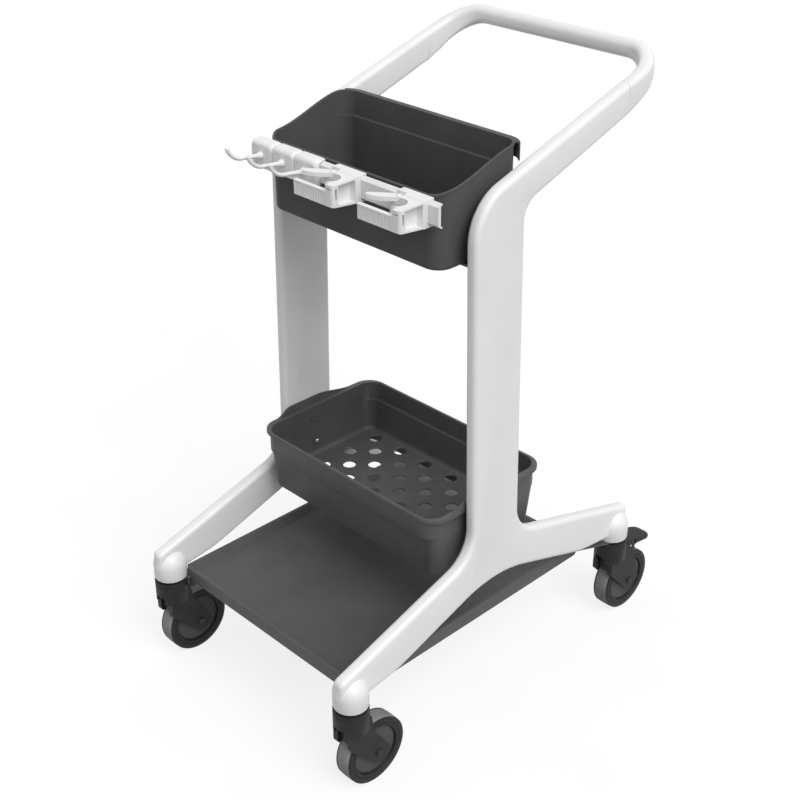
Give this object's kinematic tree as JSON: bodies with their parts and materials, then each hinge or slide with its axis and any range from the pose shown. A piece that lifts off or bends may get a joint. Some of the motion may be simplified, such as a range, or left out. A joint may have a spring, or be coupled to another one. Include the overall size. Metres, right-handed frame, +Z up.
{
  "type": "wheeled utility trolley",
  "caption": "Wheeled utility trolley with white leaning side frames, a push handle, a dark top bin, a lower basket, a base tray, a tool rail with hooks and clips, and swivel castors.",
  "frame": {"origin": "on the floor, under the middle of the bounding box", "axes": "+Z up; the trolley is pushed towards -Y, the handle is at +Y, and +X is the side where the clips are"},
  "size_m": [0.5466, 0.8048, 1.0984],
  "materials": {
    "frame_white": "smooth satin white moulding",
    "module_white": "satin white moulding",
    "rail_white": "white powder coat",
    "bin_black": "fine-grained black moulding",
    "basket_charcoal": "fine-grained charcoal moulding",
    "castor_grey": "dark grey moulding",
    "wheel_grey": "dark grey moulding",
    "tread_grey": "soft grey tread",
    "steel": "zinc-plated steel"
  },
  "bodies": {
    "trolley": {"left_side_frame": "frame_white", "right_side_frame": "frame_white", "push_handle": "frame_white", "top_bin": "bin_black", "bin_bracket_left": "basket_charcoal", "bin_bracket_right": "basket_charcoal", "bracket_screw_left_front": "steel", "bracket_screw_left_rear": "steel", "bracket_screw_right_front": "steel", "bracket_screw_right_rear": "steel", "lower_basket": "basket_charcoal", "basket_screw_left_upper": "steel", "basket_screw_left_lower": "steel", "basket_screw_right_upper": "steel", "basket_screw_right_lower": "steel", "base_tray": "basket_charcoal", "tool_rail": "rail_white", "rail_screw_left": "steel", "rail_screw_right": "steel", "hook_left": "module_white", "hook_middle": "module_white", "hook_right": "module_white", "castor_stem_front_left": "steel", "castor_stem_front_right": "steel", "castor_stem_rear_left": "steel", "castor_stem_rear_right": "steel"},
    "clip_left": {"clip_body_left": "module_white", "clip_pin_left": "steel"},
    "clip_right": {"clip_body_right": "module_white", "clip_pin_right": "steel"},
    "jaw_left": {"clip_jaw_left": "module_white"},
    "jaw_right": {"clip_jaw_right": "module_white"},
    "fork_front_left": {"castor_fork_front_left": "castor_grey", "axle_front_left": "castor_grey"},
    "fork_front_right": {"castor_fork_front_right": "castor_grey", "axle_front_right": "castor_grey"},
    "fork_rear_left": {"castor_fork_rear_left": "castor_grey", "axle_rear_left": "castor_grey", "pedal_pin_rear_left": "steel"},
    "fork_rear_right": {"castor_fork_rear_right": "castor_grey", "axle_rear_right": "castor_grey", "pedal_pin_rear_right": "steel"},
    "wheel_front_left": {"wheel_hub_front_left": "wheel_grey", "tyre_front_left": "tread_grey"},
    "wheel_front_right": {"wheel_hub_front_right": "wheel_grey", "tyre_front_right": "tread_grey"},
    "wheel_rear_left": {"wheel_hub_rear_left": "wheel_grey", "tyre_rear_left": "tread_grey"},
    "wheel_rear_right": {"wheel_hub_rear_right": "wheel_grey", "tyre_rear_right": "tread_grey"},
    "pedal_rear_left": {"brake_pedal_rear_left": "castor_grey"},
    "pedal_rear_right": {"brake_pedal_rear_right": "castor_grey"}
  },
  "joints": [
    {"name": "swivel_front_left", "type": "hinge", "parent": "trolley", "child": "fork_front_left", "pos_m": [-0.243, -0.3721, 0.15], "axis": [0, 0, 1], "continuous": true},
    {"name": "swivel_front_right", "type": "hinge", "parent": "trolley", "child": "fork_front_right", "pos_m": [0.243, -0.3721, 0.15], "axis": [0, 0, 1], "continuous": true},
    {"name": "swivel_rear_left", "type": "hinge", "parent": "trolley", "child": "fork_rear_left", "pos_m": [-0.243, 0.2999, 0.15], "axis": [0, 0, 1], "continuous": true},
    {"name": "swivel_rear_right", "type": "hinge", "parent": "trolley", "child": "fork_rear_right", "pos_m": [0.243, 0.2999, 0.15], "axis": [0, 0, 1], "continuous": true},
    {"name": "spin_front_left", "type": "hinge", "parent": "fork_front_left", "child": "wheel_front_left", "pos_m": [-0.243, -0.3321, 0.0625], "axis": [1, 0, 0], "continuous": true},
    {"name": "spin_front_right", "type": "hinge", "parent": "fork_front_right", "child": "wheel_front_right", "pos_m": [0.243, -0.3321, 0.0625], "axis": [1, 0, 0], "continuous": true},
    {"name": "spin_rear_left", "type": "hinge", "parent": "fork_rear_left", "child": "wheel_rear_left", "pos_m": [-0.243, 0.3399, 0.0625], "axis": [1, 0, 0], "continuous": true},
    {"name": "spin_rear_right", "type": "hinge", "parent": "fork_rear_right", "child": "wheel_rear_right", "pos_m": [0.243, 0.3399, 0.0625], "axis": [1, 0, 0], "continuous": true},
    {"name": "pedal_rear_left", "type": "hinge", "parent": "fork_rear_left", "child": "pedal_rear_left", "pos_m": [-0.243, 0.3344, 0.1475], "axis": [-1, 0, 0], "range_deg": [0, 12]},
    {"name": "pedal_rear_right", "type": "hinge", "parent": "fork_rear_right", "child": "pedal_rear_right", "pos_m": [0.243, 0.3344, 0.1475], "axis": [-1, 0, 0], "range_deg": [0, 12]},
    {"name": "clip_left_slide", "type": "slide", "parent": "trolley", "child": "clip_left", "axis": [1, 0, 0], "range_m": [0, 0.02]},
    {"name": "clip_right_slide", "type": "slide", "parent": "trolley", "child": "clip_right", "axis": [1, 0, 0], "range_m": [-0.02, 0.02]},
    {"name": "jaw_left_open", "type": "hinge", "parent": "clip_left", "child": "jaw_left", "pos_m": [-0.007, -0.1591, 0.9544], "axis": [0, 0, -1], "range_deg": [0, 9], "stiffness_Nm_per_rad": 0.05, "springref_deg": -11.46},
    {"name": "jaw_right_open", "type": "hinge", "parent": "clip_right", "child": "jaw_right", "pos_m": [0.1375, -0.1591, 0.9544], "axis": [0, 0, -1], "range_deg": [0, 9], "stiffness_Nm_per_rad": 0.05, "springref_deg": -11.46}
  ]
}
